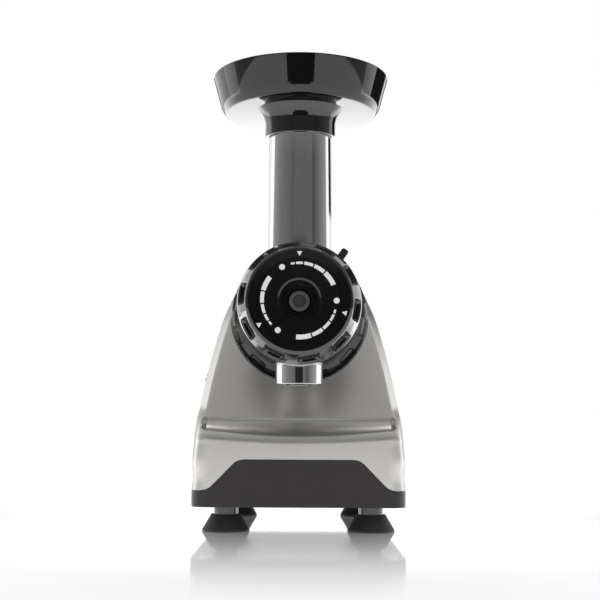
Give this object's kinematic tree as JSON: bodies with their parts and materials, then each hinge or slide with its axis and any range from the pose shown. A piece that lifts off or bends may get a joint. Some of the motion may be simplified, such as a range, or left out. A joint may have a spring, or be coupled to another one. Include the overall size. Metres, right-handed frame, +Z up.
{
  "type": "slow juicer",
  "caption": "Horizontal slow juicer with a round black hopper on an upright chute, a turning auger in a drum with a pressure dial, and a silver motor body on rubber feet.",
  "frame": {"origin": "on the table under the middle of the outer box", "axes": "+Z up, the dial faces -Y, +X to the right as seen from the dial side"},
  "size_m": [0.186, 0.341, 0.405],
  "materials": {
    "silver_paint": "fine silver metallic lacquer, satin",
    "black_base": "fine textured black plastic, satin",
    "gloss_black": "polished black plastic",
    "smoke_black": "polished smoky black plastic",
    "dark_chrome": "dark chrome plating",
    "bright_chrome": "bright chrome plating",
    "rubber": "matt black rubber",
    "white_print": "white print",
    "dial_black": "satin black plastic",
    "auger_grey": "dark grey moulded plastic",
    "seal_grey": "grey silicone rubber",
    "mesh_steel": "etched stainless sheet",
    "shaft_steel": "ground steel",
    "screw_steel": "zinc plated steel",
    "gear_nylon": "natural nylon",
    "bearing_steel": "polished bearing steel",
    "bush_bronze": "sintered bronze",
    "plate_aluminium": "cast aluminium",
    "core_steel": "stacked electrical steel",
    "winding_copper": "enamelled copper wire",
    "fan_black": "black moulded plastic",
    "board_green": "green solder mask",
    "capacitor_white": "white plastic can"
  },
  "bodies": {
    "juicer_body": {"housing_shell": "silver_paint", "base_pan": "black_base", "rear_cover": "black_base", "carry_handle": "gloss_black", "handle_screws": "screw_steel", "base_screws": "screw_steel", "foot_stems": "gloss_black", "rubber_feet": "rubber", "foot_screws": "screw_steel", "drum_socket": "gloss_black", "shaft_seal": "seal_grey", "drum": "gloss_black", "drum_gasket": "seal_grey", "feed_chute": "dark_chrome", "chute_collar": "gloss_black", "juice_spout": "bright_chrome", "screen_frame": "auger_grey", "juice_screen": "mesh_steel", "output_bearings": "bearing_steel", "intermediate_bushes": "bush_bronze", "gearbox_front_plate": "plate_aluminium", "gearbox_rear_plate": "plate_aluminium", "gearbox_spacers": "plate_aluminium", "gearbox_screws": "screw_steel", "stator_core": "core_steel", "field_windings": "winding_copper", "motor_front_bell": "plate_aluminium", "motor_rear_bell": "plate_aluminium", "motor_bearings": "bearing_steel", "motor_bolts": "screw_steel", "circuit_board": "board_green", "run_capacitor": "capacitor_white", "switch_bezel": "gloss_black", "switch_body": "fan_black", "power_inlet": "fan_black"},
    "auger_line": {"auger": "auger_grey", "output_shaft": "shaft_steel", "output_gear": "gear_nylon"},
    "intermediate_line": {"intermediate_shaft": "shaft_steel", "intermediate_gear": "gear_nylon", "intermediate_pinion": "shaft_steel"},
    "rotor": {"motor_shaft": "shaft_steel", "motor_pinion": "shaft_steel", "rotor_core": "core_steel", "cooling_fan": "fan_black"},
    "lock": {"lock_ring": "gloss_black"},
    "cap": {"end_cap": "gloss_black", "pointer_marks": "white_print", "cap_gasket": "seal_grey"},
    "dial": {"dial_disc": "dial_black", "dial_marks": "white_print"},
    "nozzle_slider": {"nozzle": "dial_black"},
    "tray": {"hopper": "smoke_black"},
    "rocker": {"switch_rocker": "gloss_black"}
  },
  "joints": [
    {"name": "motor_turn", "type": "hinge", "parent": "juicer_body", "child": "rotor", "pos_m": [0, 0, 0.09498], "axis": [0, 1, 0], "continuous": true},
    {"name": "intermediate_turn", "type": "hinge", "parent": "juicer_body", "child": "intermediate_line", "pos_m": [0, 0, 0.13767], "axis": [0, 1, 0], "continuous": true},
    {"name": "auger_turn", "type": "hinge", "parent": "juicer_body", "child": "auger_line", "pos_m": [0, 0, 0.191], "axis": [0, 1, 0], "continuous": true},
    {"name": "lock_turn", "type": "hinge", "parent": "juicer_body", "child": "lock", "pos_m": [0, -0.045, 0.191], "axis": [0, 1, 0], "range_deg": [0, 40]},
    {"name": "cap_turn", "type": "hinge", "parent": "juicer_body", "child": "cap", "pos_m": [0, -0.155, 0.191], "axis": [0, 1, 0], "range_deg": [0, 45]},
    {"name": "dial_turn", "type": "hinge", "parent": "cap", "child": "dial", "pos_m": [0, -0.167, 0.191], "axis": [0, 1, 0], "range_deg": [0, 80]},
    {"name": "nozzle_slide", "type": "slide", "parent": "cap", "child": "nozzle_slider", "axis": [0, 1, 0], "range_m": [0, 0.0025]},
    {"name": "hopper_lift", "type": "slide", "parent": "juicer_body", "child": "tray", "axis": [0, 0, 1], "range_m": [0, 0.05]},
    {"name": "switch_rock", "type": "hinge", "parent": "juicer_body", "child": "rocker", "pos_m": [-0.084, 0.0155, 0.125], "axis": [0, 1, 0], "range_deg": [-12, 12]}
  ],
  "couplings": [
    {"joint": "intermediate_turn", "follows": "motor_turn", "ratio": -0.25},
    {"joint": "auger_turn", "follows": "motor_turn", "ratio": 0.0625},
    {"joint": "nozzle_slide", "follows": "dial_turn", "m_per_rad": 0.00179}
  ]
}
